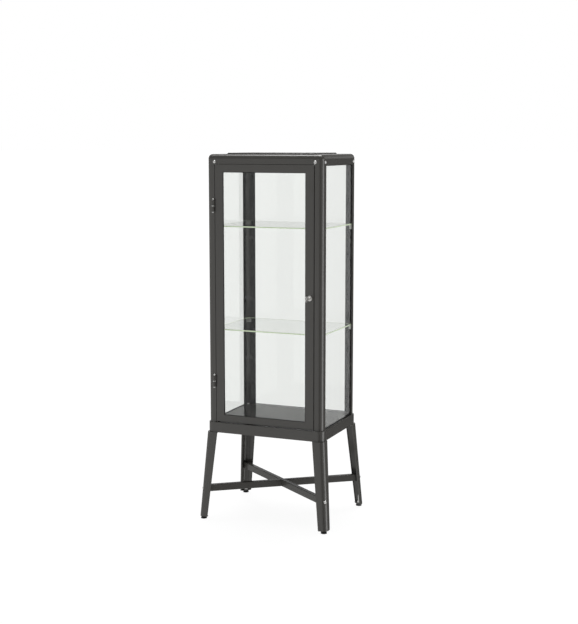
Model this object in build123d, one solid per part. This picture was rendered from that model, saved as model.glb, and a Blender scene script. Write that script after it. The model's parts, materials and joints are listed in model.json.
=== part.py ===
from build123d import *
import os
from math import atan2, cos, degrees, hypot, radians, sin

# Tower display case: a glazed steel cabinet with one locked door, standing on a splayed
# four-legged stand. Millimetres, +Z up, door towards -Y. The origin is on the floor, at
# the middle of the footprint. "Quadrant" below always means one corner of the plan,
# given as (sign of x, sign of y); shapes are made for (+1, +1) and mirrored.

# ---- driving dimensions ----

OVERALL_W = 568.0  # across the splayed leg ends
OVERALL_D = 446.0
OVERALL_H = 1507.0

SHEET = 1.5  # wall of the rolled posts, lid and door profiles

BODY_W = 499.0  # glazed cabinet body
BODY_D = 376.0
CORNER_R = 20.0  # rounded vertical corners
LID_BOTTOM_Z = 1458.5
LID_TOP_Z = 1502.0
LID_ROLL_R = 18.0  # rolled edge between the lid's top and its sides
DOOR_HEAD_Z = 1463.0  # lower edge of the lid over the door
BRACKET_T = 2.0  # angle brackets between posts and lid
BRACKET_STEM_X = 232.0
BRACKET_DROP = 40.0
PLATEAU_INSET = 58.0  # raised panel pressed into the lid
PLATEAU_CORNER_R = 16.0
PLATEAU_EDGE_R = 4.0

BASE_W = 509.0  # base frame, a little proud of the body
BASE_D = 388.0
BASE_CORNER_R = 25.0
BASE_BOTTOM_Z = 366.0
BASE_TOP_Z = 408.5
BASE_WALL = 2.0
BASE_TOP_LEDGE = 40.0  # inward flange under the posts and floor
BASE_BOTTOM_LEDGE = 28.0  # inward flange the legs are bolted to

FLOOR_T = 3.0  # floor panel of the lowest compartment
FLOOR_NOTCH = 14.0
FLOOR_EDGE_R = 0.8

POST_TAB_T = 2.0  # foot tab inside each post
POST_TAB_X = 231.0
POST_TAB_Y = 169.5
POST_SCREW_XY = (238.5, 177.0)
POST_SCREW_HEAD_R = 4.2
POST_SCREW_HEAD_H = 2.6

FRONT_FLANGE_LEFT_X = -216.7  # inner edge of each front post's face
FRONT_FLANGE_RIGHT_X = 215.7
BACK_FLANGE_X = 207.0  # inner edge of each back post's rear face
SIDE_FLANGE_Y = 150.5  # inner edge of each post's side face
STOP_FRONT_Y = -169.5  # lip the door closes against
STOP_LIP_W = 10.5
HEAD_STOP_LEFT_X = -205.7  # ends of the stop over the door
HEAD_STOP_RIGHT_X = 204.7

PANE_T = 4.0
GASKET_T = 1.0
PANE_TOP_Z = 1461.5
SIDE_PANE_HALF = 168.5
BACK_PANE_HALF = 230.0
GASKET_SHOW = 1.5  # gasket standing past the metal around the glass
GASKET_SILL = 2.5  # gasket along the bottom edge of a pane
GLASS_BEVEL = 0.8  # ground corners of the upright panes
CLIP_T = 1.0
CLIP_HALF_H = 7.0
GLASS_CLIPS_Z = (618.0, 880.0, 1142.0, 1404.0)

DOOR_LEFT_X = -215.2
DOOR_RIGHT_X = 212.7
DOOR_BOTTOM_Z = 411.5
DOOR_TOP_Z = 1462.0
DOOR_DEPTH = 16.0
DOOR_REAR_FLANGE = 20.0
WINDOW_LEFT_X = -180.0
WINDOW_RIGHT_X = 178.0
WINDOW_BOTTOM_Z = 441.0
WINDOW_TOP_Z = 1431.0
GLASS_LAP = 5.0  # door glass hidden behind the frame on each side
WINDOW_LIP = 2.0  # gasket lip inside the window's edge
BEAD_DEPTH = 4.0
BUMPER_R = 2.6
BUMPERS_Z = (520.0, 1010.0, 1380.0)

HINGE_X = -220.8
HINGE_Y = -193.8
HINGE_MIDDLES_Z = (1295.5, 579.7)
KNUCKLE_R = 5.5
KNUCKLE_H = 20.4
WASHER_H = 4.0
PIN_R = 3.0
RUNNING_GAP = 0.05
PRESS_GAP = 0.02
LEAF_T = 1.6
PIN_CAP_R = 4.9
PIN_CAP_H = 6.4
PIN_FOOT_H = 5.4

LOCK_X = 195.0
LOCK_Z = 939.5
LOCK_BODY_R = 8.0
LOCK_RIM_R = 10.5
LOCK_RIM_H = 2.6
LOCK_NUT_FLATS = 18.5
PLUG_R = 6.0
PLUG_SQUARE = 3.0  # half the side of the plug's square tail
CAM_REACH = 25.0
CAM_W = 14.0
CAM_T = 2.0
KEYWAY_HALF_T = 1.2
KEYWAY_HALF_H = 3.8
KEYWAY_DEPTH = 19.0
KEY_HALF_T = 1.0
KEY_HALF_H = 3.5
KEY_LENGTH = 17.0  # blade inside the plug
KEY_BOW_R = 12.0
KEY_BOW_HALF_T = 1.1
KEY_BOW_HOLE_R = 4.0
KEY_BOW_REACH = 28.5  # middle of the bow in front of the plug
KEY_CUTS = (1.6, 0.8, 2.0, 1.2)
KEY_CUT_STEP = 3.2

SHELF_HALF_W = 239.5
SHELF_FRONT_Y = -164.5
SHELF_BACK_Y = 178.5
SHELF_T = 5.0
SHELF_TOPS_Z = {"upper": 1215.0, "lower": 793.5}
SHELF_CORNER_R = 3.0
SHELF_BEVEL = 0.6
SHELF_PAD_T = 1.0
SHELF_PAD_R = 5.0
SHELF_PAD_X = 232.0
SHELF_PAD_BACK_Y = 170.5
SHELF_PAD_FRONT_Y = -156.5
SUPPORT_H = 18.0
LEDGE_T = 2.5
LEDGE_X = 224.0
LEDGE_BACK_Y = 162.5
LEDGE_FRONT_Y = -148.5
LUG_X = 233.5
LUG_Y = 172.0
LUG_WEB_Y = 178.5

LEG_TOP = (258.0, 197.5)  # outer corner of a leg where it meets the base
LEG_FOOT = (OVERALL_W / 2, OVERALL_D / 2)
LEG_TOP_Z = BASE_BOTTOM_Z
LEG_BOTTOM_Z = 10.0
LEG_TOP_FLANGE = 47.5
LEG_BOTTOM_FLANGE = 37.0
LEG_SHEET = 2.0
LEG_CORNER_R = 20.0
LEG_HEM = 6.0
LEG_PLATE_T = 3.0
LEG_TAB_CHAMFER = 25.0
LEG_BOLTS_XY = ((241.5, 163.5), (220.5, 181.5))
LEG_BOLT_R = 3.0
LEG_BOLT_HOLE_R = 3.3
LEG_BOLT_FLATS = 10.0

FOOT_XY = (267.0, 209.0)
FOOT_PAD_R = 12.5
FOOT_PAD_H = 8.5
STUD_R = 4.0
STUD_TOP_Z = 46.0
STUD_NUT_FLATS = 13.0
STUD_NUT_H = 6.5

BAR_W = 20.0
BAR_H = 28.0
BAR_MIDDLE_Z = 127.0
BAR_WALL = 2.0
BAR_EDGE_R = 1.8
BAR_SCREW_Z = 127.5
BAR_SCREW_R = 3.0
BAR_SCREW_LENGTH = 18.0
BAR_END_SOLID = 22.0  # solid end block the screw bites into

SCREW_HEAD_R = 6.0  # domed, slotted screws of the lid and stretchers
SCREW_HEAD_H = 3.6
SCREW_SLOT_W = 1.4
SCREW_SLOT_DEPTH = 1.5
LID_SCREW_R = 2.5
LID_SCREW_HOLE_R = 2.7
LID_SCREW_LENGTH = 7.0
LID_SCREW_Z = 1471.5
LID_SCREW_FRONT_X = 217.0
LID_SCREW_SIDE_Y = 160.5

# ---- sizes worked out from the driving dimensions ----

HALF_W = BODY_W / 2
HALF_D = BODY_D / 2
DOOR_FRONT_Y = -HALF_D
DOOR_REAR_Y = DOOR_FRONT_Y + DOOR_DEPTH
FLOOR_TOP_Z = BASE_TOP_Z + FLOOR_T
PANE_BOTTOM_Z = FLOOR_TOP_Z + 0.5
SIDE_PANE_OUT_X = HALF_W - SHEET - GASKET_T
BACK_PANE_OUT_Y = HALF_D - SHEET - GASKET_T
PLUG_FRONT_Y = DOOR_FRONT_Y - 3.0
PLUG_SHOULDER_Y = DOOR_REAR_Y + 3.4
CAM_REAR_Y = STOP_FRONT_Y + SHEET + 0.4 + CAM_T

QUADRANTS = {
    "front_left": (-1, -1),
    "front_right": (1, -1),
    "back_left": (-1, 1),
    "back_right": (1, 1),
}


# ---- helpers ----

def block(low, high):
    """Box between two opposite corners."""
    size = [b - a for a, b in zip(low, high)]
    middle = [(a + b) / 2 for a, b in zip(low, high)]
    return Pos(*middle) * Box(*size)


def rod(radius, start, end):
    """Round bar from one point to another."""
    start = Vector(*start)
    end = Vector(*end)
    plane = Plane(origin=start, z_dir=end - start)
    return extrude(plane * Circle(radius), (end - start).length)


def hexagon(across_flats, start, end):
    """Six-sided bar from one point to another."""
    start = Vector(*start)
    end = Vector(*end)
    plane = Plane(origin=start, z_dir=end - start)
    corner_r = across_flats / 2 / cos(radians(30))
    return extrude(plane * RegularPolygon(corner_r, 6), (end - start).length)


def into_quadrant(shape, quadrant):
    """Mirror a shape made for the (+1, +1) quadrant into another one."""
    if quadrant[0] < 0:
        shape = mirror(shape, about=Plane.YZ)
    if quadrant[1] < 0:
        shape = mirror(shape, about=Plane.XZ)
    return shape


def rounded_prism(width, depth, radius, low_z, high_z):
    """Upright prism with rounded vertical corners, centred on the Z axis."""
    return Pos(0, 0, low_z) * extrude(RectangleRounded(width, depth, radius), high_z - low_z)


def lining_form(low_z, high_z):
    """Upright prism that just fits inside the posts' sheet."""
    inset = SHEET + RUNNING_GAP / 2
    return rounded_prism(BODY_W - 2 * inset, BODY_D - 2 * inset, CORNER_R - SHEET, low_z, high_z)


def group(shapes):
    """Separate solids that share one node."""
    return Compound([solid for shape in shapes for solid in shape.solids()])


def domed_screw(start, direction, shank_r, shank_length, slot_turn):
    """Screw with a domed, slotted head; start is under the head, direction points out."""
    plane = Plane(origin=Vector(*start), z_dir=Vector(*direction))
    sphere_r = (SCREW_HEAD_R ** 2 + SCREW_HEAD_H ** 2) / (2 * SCREW_HEAD_H)
    dome = Pos(0, 0, SCREW_HEAD_H - sphere_r) * Sphere(sphere_r)
    head = dome & (Pos(0, 0, SCREW_HEAD_H / 2) * Cylinder(SCREW_HEAD_R, SCREW_HEAD_H))
    slot = Rot(0, 0, slot_turn) * block(
        (-SCREW_HEAD_R - 1, -SCREW_SLOT_W / 2, SCREW_HEAD_H - SCREW_SLOT_DEPTH),
        (SCREW_HEAD_R + 1, SCREW_SLOT_W / 2, SCREW_HEAD_H + 1),
    )
    shank = Pos(0, 0, -shank_length / 2) * Cylinder(shank_r, shank_length)
    return plane.location * (head - slot + shank)


# ---- lid, posts and base ----

def lid_form(inset):
    """Outside of the lid, shrunk by inset on every face but the open bottom."""
    width = BODY_W - 2 * inset
    depth = BODY_D - 2 * inset
    box = rounded_prism(width, depth, CORNER_R - inset, LID_BOTTOM_Z, LID_TOP_Z - inset)
    box = fillet(box.faces().sort_by(Axis.Z)[-1].edges(), LID_ROLL_R - inset)
    plateau = rounded_prism(
        width - 2 * PLATEAU_INSET,
        depth - 2 * PLATEAU_INSET,
        PLATEAU_CORNER_R - inset,
        LID_BOTTOM_Z,
        OVERALL_H - inset,
    )
    plateau = fillet(plateau.faces().sort_by(Axis.Z)[-1].edges(), PLATEAU_EDGE_R - inset)
    return box + plateau


def head_screw_places():
    """Start under the head, outward direction and slot angle of each lid screw."""
    places = []
    for sign_x in (-1, 1):
        for sign_y in (-1, 1):
            turn = 25 + 40 * sign_x + 15 * sign_y
            front = (sign_x * LID_SCREW_FRONT_X, sign_y * HALF_D, LID_SCREW_Z)
            side = (sign_x * HALF_W, sign_y * LID_SCREW_SIDE_Y, LID_SCREW_Z)
            places.append((front, (0, sign_y, 0), turn))
            places.append((side, (sign_x, 0, 0), turn + 30))
    return places


def lid_screw_hole(place):
    """Round hole through the lid and bracket where a lid screw goes."""
    start = Vector(*place[0])
    outward = Vector(*place[1])
    return rod(LID_SCREW_HOLE_R, start + outward, start - outward * (LID_SCREW_LENGTH + 1))


def head_stop():
    """Angle strip inside the lid's front, which closes the gap over the door."""
    ledge = block(
        (HEAD_STOP_LEFT_X, -HALF_D + SHEET - 0.2, DOOR_HEAD_Z),
        (HEAD_STOP_RIGHT_X, STOP_FRONT_Y + SHEET, DOOR_HEAD_Z + SHEET),
    )
    lip = block(
        (HEAD_STOP_LEFT_X, STOP_FRONT_Y, DOOR_HEAD_Z - STOP_LIP_W),
        (HEAD_STOP_RIGHT_X, STOP_FRONT_Y + SHEET, DOOR_HEAD_Z + SHEET),
    )
    return ledge + lip


def top_panel():
    """Pressed lid: rolled edges, short sides and a raised middle."""
    lid = lid_form(0) - lid_form(SHEET)
    lid -= block(
        (FRONT_FLANGE_LEFT_X, -HALF_D - 1, LID_BOTTOM_Z - 1),
        (FRONT_FLANGE_RIGHT_X, -HALF_D + CORNER_R, DOOR_HEAD_Z),
    )
    lid += head_stop()
    for place in head_screw_places():
        lid -= lid_screw_hole(place)
    return lid


def body_shell(inset, wall, low_z, high_z):
    """Upright rounded tube following the body's outline."""
    outside = rounded_prism(
        BODY_W - 2 * inset, BODY_D - 2 * inset, CORNER_R - inset, low_z, high_z
    )
    inside = rounded_prism(
        BODY_W - 2 * (inset + wall),
        BODY_D - 2 * (inset + wall),
        CORNER_R - inset - wall,
        low_z - 1,
        high_z + 1,
    )
    return outside - inside


def post_foot_tab(sign_y):
    """Tab inside the bottom of a post on the +x side, screwed to the base frame."""
    high_z = BASE_TOP_Z + POST_TAB_T
    inside = rounded_prism(
        BODY_W - SHEET, BODY_D - SHEET, CORNER_R - SHEET / 2, BASE_TOP_Z, high_z
    )
    tab = inside & block((POST_TAB_X, POST_TAB_Y, BASE_TOP_Z), (HALF_W, HALF_D, high_z))
    tab -= rod(LID_SCREW_HOLE_R, (*POST_SCREW_XY, BASE_TOP_Z - 1), (*POST_SCREW_XY, high_z + 1))
    return tab if sign_y > 0 else mirror(tab, about=Plane.XZ)


def back_post(sign_x):
    """Angle with a rounded corner, standing at the rear of the body."""
    shell = body_shell(0, SHEET, BASE_TOP_Z, LID_BOTTOM_Z)
    post = shell & block((BACK_FLANGE_X, SIDE_FLANGE_Y, 0), (HALF_W, HALF_D, OVERALL_H))
    post += post_foot_tab(1)
    return post if sign_x > 0 else mirror(post, about=Plane.YZ)


def front_post(sign_x):
    """Angle with a rounded corner, a return beside the door and a lip behind it."""
    inner_edge = FRONT_FLANGE_RIGHT_X if sign_x > 0 else -FRONT_FLANGE_LEFT_X
    lip_edge = inner_edge + SHEET - STOP_LIP_W
    shell = body_shell(0, SHEET, BASE_TOP_Z, LID_BOTTOM_Z)
    post = shell & block((inner_edge, -HALF_D, 0), (HALF_W, -SIDE_FLANGE_Y, OVERALL_H))
    post += block(
        (inner_edge, -HALF_D, BASE_TOP_Z),
        (inner_edge + SHEET, STOP_FRONT_Y + SHEET, LID_BOTTOM_Z),
    )
    post += block(
        (lip_edge, STOP_FRONT_Y, BASE_TOP_Z),
        (inner_edge + SHEET, STOP_FRONT_Y + SHEET, LID_BOTTOM_Z),
    )
    post += post_foot_tab(-1)
    if sign_x > 0:
        return post
    post = mirror(post, about=Plane.YZ)
    for middle_z in HINGE_MIDDLES_Z:
        low_z = middle_z - WASHER_H / 2 - KNUCKLE_H - 0.5
        post -= block(
            (FRONT_FLANGE_LEFT_X - SHEET - LEAF_T - 0.2, -HALF_D - 1, low_z),
            (FRONT_FLANGE_LEFT_X - SHEET, -HALF_D + SHEET + 0.5, low_z + KNUCKLE_H + 1),
        )
    return post


def head_bracket():
    """Angle inside the (+1, +1) corner that ties a post to the lid."""
    tie_z = PANE_TOP_Z + 2
    high_z = LID_TOP_Z - CORNER_R - 1
    shell = body_shell(SHEET, BRACKET_T, LID_BOTTOM_Z - BRACKET_DROP, high_z)
    stem = block((BRACKET_STEM_X, SIDE_PANE_HALF + 2, 0), (HALF_W, HALF_D, OVERALL_H))
    arms = block(
        (LID_SCREW_FRONT_X - 9, LID_SCREW_SIDE_Y - 9, tie_z), (HALF_W, HALF_D, OVERALL_H)
    )
    bracket = shell & (stem + arms)
    for place in head_screw_places():
        bracket -= lid_screw_hole(place)
    return bracket


def head_screws():
    """Domed screws that hold the lid to the four brackets."""
    screws = []
    for start, outward, turn in head_screw_places():
        screws.append(domed_screw(start, outward, LID_SCREW_R, LID_SCREW_LENGTH, turn))
    return group(screws)


def base_frame():
    """Rectangular ring of channel section under the body."""
    ring = rounded_prism(BASE_W, BASE_D, BASE_CORNER_R, BASE_BOTTOM_Z, BASE_TOP_Z)
    ring = fillet(ring.faces().sort_by(Axis.Z)[-1].edges(), 1.8)
    ring -= rounded_prism(
        BASE_W - 2 * BASE_WALL,
        BASE_D - 2 * BASE_WALL,
        BASE_CORNER_R - BASE_WALL,
        BASE_BOTTOM_Z + BASE_WALL,
        BASE_TOP_Z - BASE_WALL,
    )
    ring -= rounded_prism(
        BASE_W - 2 * BASE_TOP_LEDGE,
        BASE_D - 2 * BASE_TOP_LEDGE,
        8,
        BASE_TOP_Z - BASE_WALL - 1,
        BASE_TOP_Z + 1,
    )
    ring -= rounded_prism(
        BASE_W - 2 * BASE_BOTTOM_LEDGE,
        BASE_D - 2 * BASE_BOTTOM_LEDGE,
        8,
        BASE_BOTTOM_Z - 1,
        BASE_BOTTOM_Z + BASE_WALL + 1,
    )
    for quadrant in QUADRANTS.values():
        for x, y in LEG_BOLTS_XY:
            hole = rod(
                LEG_BOLT_HOLE_R,
                (x, y, BASE_BOTTOM_Z - 1),
                (x, y, BASE_BOTTOM_Z + BASE_WALL + 1),
            )
            ring -= into_quadrant(hole, quadrant)
        hole = rod(
            LID_SCREW_HOLE_R, (*POST_SCREW_XY, BASE_TOP_Z - 5), (*POST_SCREW_XY, BASE_TOP_Z + 1)
        )
        ring -= into_quadrant(hole, quadrant)
    return ring


def floor_panel():
    """Floor of the lowest compartment, notched round the posts."""
    half_w = SIDE_PANE_OUT_X - PANE_T - 0.5
    front_y = STOP_FRONT_Y + SHEET + 0.5
    back_y = BACK_PANE_OUT_Y - PANE_T - 1
    panel = block((-half_w, front_y, BASE_TOP_Z), (half_w, back_y, FLOOR_TOP_Z))
    for sign_x in (-1, 1):
        for edge_y in (front_y, back_y):
            panel -= Pos(sign_x * half_w, edge_y, BASE_TOP_Z) * Box(
                2 * FLOOR_NOTCH, 2 * FLOOR_NOTCH, 4 * FLOOR_T
            )
    return fillet(panel.faces().sort_by(Axis.Z)[-1].edges(), FLOOR_EDGE_R)


def post_foot_screws():
    """One screw through each post's foot tab into the base frame."""
    head_z = BASE_TOP_Z + POST_TAB_T
    screw = rod(
        POST_SCREW_HEAD_R, (*POST_SCREW_XY, head_z), (*POST_SCREW_XY, head_z + POST_SCREW_HEAD_H)
    )
    screw = fillet(screw.faces().sort_by(Axis.Z)[-1].edges(), 1.2)
    screw += rod(LID_SCREW_R, (*POST_SCREW_XY, BASE_TOP_Z - 8), (*POST_SCREW_XY, head_z))
    return group([into_quadrant(screw, quadrant) for quadrant in QUADRANTS.values()])


# ---- fixed glass ----

def side_pane(sign_x):
    """Glass of one side, held behind the posts."""
    pane = block(
        (SIDE_PANE_OUT_X - PANE_T, -SIDE_PANE_HALF, PANE_BOTTOM_Z),
        (SIDE_PANE_OUT_X, SIDE_PANE_HALF, PANE_TOP_Z),
    )
    pane = chamfer(pane.edges().filter_by(Axis.X), GLASS_BEVEL)
    return pane if sign_x > 0 else mirror(pane, about=Plane.YZ)


def back_pane():
    """Glass of the back."""
    pane = block(
        (-BACK_PANE_HALF, BACK_PANE_OUT_Y - PANE_T, PANE_BOTTOM_Z),
        (BACK_PANE_HALF, BACK_PANE_OUT_Y, PANE_TOP_Z),
    )
    return chamfer(pane.edges().filter_by(Axis.Y), GLASS_BEVEL)


def side_gasket(sign_x):
    """Rubber frame between one side pane and the metal around it."""
    low_x = SIDE_PANE_OUT_X
    high_x = low_x + GASKET_T
    half = SIDE_FLANGE_Y - GASKET_SHOW
    gasket = block(
        (low_x, -SIDE_PANE_HALF, PANE_BOTTOM_Z), (high_x, SIDE_PANE_HALF, PANE_TOP_Z)
    )
    gasket -= block(
        (low_x - 1, -half, PANE_BOTTOM_Z + GASKET_SILL),
        (high_x + 1, half, LID_BOTTOM_Z - GASKET_SHOW),
    )
    gasket &= lining_form(0, OVERALL_H)
    return gasket if sign_x > 0 else mirror(gasket, about=Plane.YZ)


def back_gasket():
    """Rubber frame between the back pane and the metal around it."""
    low_y = BACK_PANE_OUT_Y
    high_y = low_y + GASKET_T
    half = BACK_FLANGE_X - GASKET_SHOW
    gasket = block(
        (-BACK_PANE_HALF, low_y, PANE_BOTTOM_Z), (BACK_PANE_HALF, high_y, PANE_TOP_Z)
    )
    gasket -= block(
        (-half, low_y - 1, PANE_BOTTOM_Z + GASKET_SILL),
        (half, high_y + 1, LID_BOTTOM_Z - GASKET_SHOW),
    )
    return gasket & lining_form(0, OVERALL_H)


def glass_clips():
    """Spring clips, welded to the posts, that press the three panes outwards."""
    side_in_x = SIDE_PANE_OUT_X - PANE_T
    back_in_y = BACK_PANE_OUT_Y - PANE_T
    web_y = SIDE_PANE_HALF + 1.2
    web_x = BACK_PANE_HALF + 0.8
    clips = []
    for z in GLASS_CLIPS_Z:
        low_z = z - CLIP_HALF_H
        high_z = z + CLIP_HALF_H
        side = block(
            (side_in_x - CLIP_T, SIDE_PANE_HALF - 8, low_z), (side_in_x, web_y + CLIP_T, high_z)
        )
        side += block(
            (side_in_x - CLIP_T, web_y, low_z), (HALF_W - SHEET - 0.5, web_y + CLIP_T, high_z)
        )
        back = block(
            (BACK_PANE_HALF - 10, back_in_y - CLIP_T, low_z), (web_x + CLIP_T, back_in_y, high_z)
        )
        back += block(
            (web_x, back_in_y - CLIP_T, low_z), (web_x + CLIP_T, HALF_D - SHEET - 0.4, high_z)
        )
        for quadrant in QUADRANTS.values():
            clips.append(into_quadrant(side, quadrant))
            if quadrant[1] > 0:
                clips.append(into_quadrant(back, quadrant))
    return group(clips)


# ---- shelves ----

def shelf(top_z):
    """Loose glass shelf with ground edges."""
    plate = block(
        (-SHELF_HALF_W, SHELF_FRONT_Y, top_z - SHELF_T), (SHELF_HALF_W, SHELF_BACK_Y, top_z)
    )
    plate = fillet(plate.edges().filter_by(Axis.Z), SHELF_CORNER_R)
    return chamfer(plate.faces().filter_by(Axis.Z).edges(), SHELF_BEVEL)


def shelf_support(sign_y, top_z):
    """Ledge with a lug welded into a post's corner, on the +x side."""
    room_x = SIDE_PANE_OUT_X - PANE_T - 1.6
    room_y = BACK_PANE_OUT_Y - PANE_T - 0.6
    inner_y = LEDGE_BACK_Y if sign_y > 0 else -LEDGE_FRONT_Y
    ledge = block((LEDGE_X, inner_y, top_z - LEDGE_T), (room_x, room_y, top_z))
    lug = block((LUG_X, LUG_Y, top_z - SUPPORT_H), (HALF_W, HALF_D, top_z))
    web = block((LEDGE_X, LUG_WEB_Y, top_z - SUPPORT_H), (HALF_W, room_y, top_z))
    support = (ledge + lug + web) & lining_form(top_z - 2 * SUPPORT_H, top_z + 1)
    return support if sign_y > 0 else mirror(support, about=Plane.XZ)


def shelf_supports(shelf_top_z):
    """Four ledges under one shelf."""
    top_z = shelf_top_z - SHELF_T - SHELF_PAD_T
    supports = []
    for sign_x, sign_y in QUADRANTS.values():
        support = shelf_support(sign_y, top_z)
        supports.append(support if sign_x > 0 else mirror(support, about=Plane.YZ))
    return group(supports)


def shelf_pads():
    """Soft pads between the ledges and both shelves."""
    pads = []
    for shelf_top_z in SHELF_TOPS_Z.values():
        top_z = shelf_top_z - SHELF_T
        for sign_x, sign_y in QUADRANTS.values():
            y = SHELF_PAD_BACK_Y if sign_y > 0 else SHELF_PAD_FRONT_Y
            place = (sign_x * SHELF_PAD_X, y)
            pads.append(rod(SHELF_PAD_R, (*place, top_z - SHELF_PAD_T), (*place, top_z)))
    return group(pads)


# ---- door ----

def door_frame():
    """Welded frame of channel section, with a wide face in front."""
    outside = block(
        (DOOR_LEFT_X, DOOR_FRONT_Y, DOOR_BOTTOM_Z), (DOOR_RIGHT_X, DOOR_REAR_Y, DOOR_TOP_Z)
    )
    outside = fillet(outside.faces().sort_by(Axis.Y)[0].edges(), 1.0)
    hollow = block(
        (DOOR_LEFT_X + SHEET, DOOR_FRONT_Y + SHEET, DOOR_BOTTOM_Z + SHEET),
        (DOOR_RIGHT_X - SHEET, DOOR_REAR_Y - SHEET, DOOR_TOP_Z - SHEET),
    )
    window = block(
        (WINDOW_LEFT_X, DOOR_FRONT_Y - 1, WINDOW_BOTTOM_Z),
        (WINDOW_RIGHT_X, DOOR_REAR_Y + 1, WINDOW_TOP_Z),
    )
    rear_opening = block(
        (DOOR_LEFT_X + DOOR_REAR_FLANGE, DOOR_REAR_Y - 5, DOOR_BOTTOM_Z + DOOR_REAR_FLANGE),
        (DOOR_RIGHT_X - DOOR_REAR_FLANGE, DOOR_REAR_Y + 1, DOOR_TOP_Z - DOOR_REAR_FLANGE),
    )
    frame = outside - hollow - window - rear_opening
    frame -= rod(
        LOCK_BODY_R + 0.1, (LOCK_X, DOOR_FRONT_Y - 1, LOCK_Z), (LOCK_X, DOOR_REAR_Y + 1, LOCK_Z)
    )
    slot_x = DOOR_LEFT_X + SHEET + LEAF_T + 0.8
    slot_y = DOOR_FRONT_Y + SHEET + 0.4
    for middle_z in HINGE_MIDDLES_Z:
        frame -= block(
            (DOOR_LEFT_X - 1, DOOR_FRONT_Y - 1, middle_z - 1),
            (slot_x, slot_y, middle_z + KNUCKLE_H + 5),
        )
    return frame


def door_glass_box(front_y, rear_y):
    """Block as wide and tall as the door's glass."""
    return block(
        (WINDOW_LEFT_X - GLASS_LAP, front_y, WINDOW_BOTTOM_Z - GLASS_LAP),
        (WINDOW_RIGHT_X + GLASS_LAP, rear_y, WINDOW_TOP_Z + GLASS_LAP),
    )


def door_glass():
    """Pane of the door."""
    front_y = DOOR_FRONT_Y + SHEET + GASKET_T
    pane = door_glass_box(front_y, front_y + PANE_T)
    return chamfer(pane.edges().filter_by(Axis.Y), GLASS_BEVEL)


def door_glass_gasket():
    """Rubber frame in front of the door's glass, with a lip round the window."""
    back_y = DOOR_FRONT_Y + SHEET + GASKET_T
    opening = block(
        (WINDOW_LEFT_X + WINDOW_LIP, DOOR_FRONT_Y - 1, WINDOW_BOTTOM_Z + WINDOW_LIP),
        (WINDOW_RIGHT_X - WINDOW_LIP, back_y + 1, WINDOW_TOP_Z - WINDOW_LIP),
    )
    lip = block(
        (WINDOW_LEFT_X, DOOR_FRONT_Y + 0.5, WINDOW_BOTTOM_Z),
        (WINDOW_RIGHT_X, back_y, WINDOW_TOP_Z),
    )
    return door_glass_box(back_y - GASKET_T, back_y) + lip - opening


def door_glass_bead():
    """Glazing bead that holds the door's glass from behind."""
    front_y = DOOR_FRONT_Y + SHEET + GASKET_T + PANE_T
    window = block(
        (WINDOW_LEFT_X, front_y - 1, WINDOW_BOTTOM_Z),
        (WINDOW_RIGHT_X, front_y + BEAD_DEPTH + 1, WINDOW_TOP_Z),
    )
    return door_glass_box(front_y, front_y + BEAD_DEPTH) - window


# ---- hinges ----

def hinge_post_leaf(middle_z):
    """Lower knuckle, with a leaf that passes through the post's face."""
    high_z = middle_z - WASHER_H / 2
    low_z = high_z - KNUCKLE_H
    leaf = rod(KNUCKLE_R, (HINGE_X, HINGE_Y, low_z), (HINGE_X, HINGE_Y, high_z))
    right_x = FRONT_FLANGE_LEFT_X - SHEET
    leaf += block((right_x - LEAF_T, HINGE_Y, low_z), (right_x, STOP_FRONT_Y - 3, high_z))
    bore = rod(
        PIN_R + PRESS_GAP, (HINGE_X, HINGE_Y, low_z - 1), (HINGE_X, HINGE_Y, high_z + 1)
    )
    return leaf - bore


def hinge_door_leaf(middle_z):
    """Upper knuckle, with a cranked leaf that passes into the door's stile."""
    low_z = middle_z + WASHER_H / 2 + 0.2
    high_z = low_z + KNUCKLE_H
    back_y = DOOR_FRONT_Y - 0.3
    inner_x = DOOR_LEFT_X + SHEET + 0.2 + LEAF_T
    leaf = rod(KNUCKLE_R, (HINGE_X, HINGE_Y, low_z), (HINGE_X, HINGE_Y, high_z))
    leaf += block((HINGE_X, back_y - LEAF_T, low_z), (inner_x, back_y, high_z))
    leaf += block((inner_x - LEAF_T, back_y - LEAF_T, low_z), (inner_x, DOOR_REAR_Y - 3, high_z))
    bore = rod(
        PIN_R + RUNNING_GAP, (HINGE_X, HINGE_Y, low_z - 1), (HINGE_X, HINGE_Y, high_z + 1)
    )
    return leaf - bore


def hinge_pin(middle_z):
    """Pin with a domed foot and a pointed finial."""
    low_z = middle_z - WASHER_H / 2 - KNUCKLE_H
    high_z = middle_z + WASHER_H / 2 + KNUCKLE_H + 0.5
    outline = Polyline(
        (0, low_z - PIN_FOOT_H), (2.6, low_z - PIN_FOOT_H + 0.8), (4.4, low_z - 2.6),
        (PIN_CAP_R, low_z), (PIN_R, low_z), (PIN_R, high_z), (PIN_CAP_R, high_z),
        (PIN_CAP_R, high_z + 1.6), (1.6, high_z + PIN_CAP_H - 0.4), (0, high_z + PIN_CAP_H),
        close=True,
    )
    profile = make_face(Plane.XZ * outline)
    return Pos(HINGE_X, HINGE_Y, 0) * revolve(profile, Axis.Z)


def hinge_washers():
    """Plain ring between the knuckles of each hinge."""
    rings = []
    for middle_z in HINGE_MIDDLES_Z:
        low = (HINGE_X, HINGE_Y, middle_z - WASHER_H / 2)
        high = (HINGE_X, HINGE_Y, middle_z + WASHER_H / 2)
        ring = fillet(rod(KNUCKLE_R + 0.1, low, high).edges(), 0.9)
        rings.append(ring - rod(PIN_R + PRESS_GAP, low, high))
    return group(rings)


def door_bumpers():
    """Small rubber stops on the lip behind the door's lock edge."""
    bumpers = []
    x = FRONT_FLANGE_RIGHT_X + SHEET - STOP_LIP_W + 3.0
    for z in BUMPERS_Z:
        bumpers.append(rod(BUMPER_R, (x, STOP_FRONT_Y, z), (x, DOOR_REAR_Y + 0.2, z)))
    return group(bumpers)


# ---- lock ----

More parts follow.
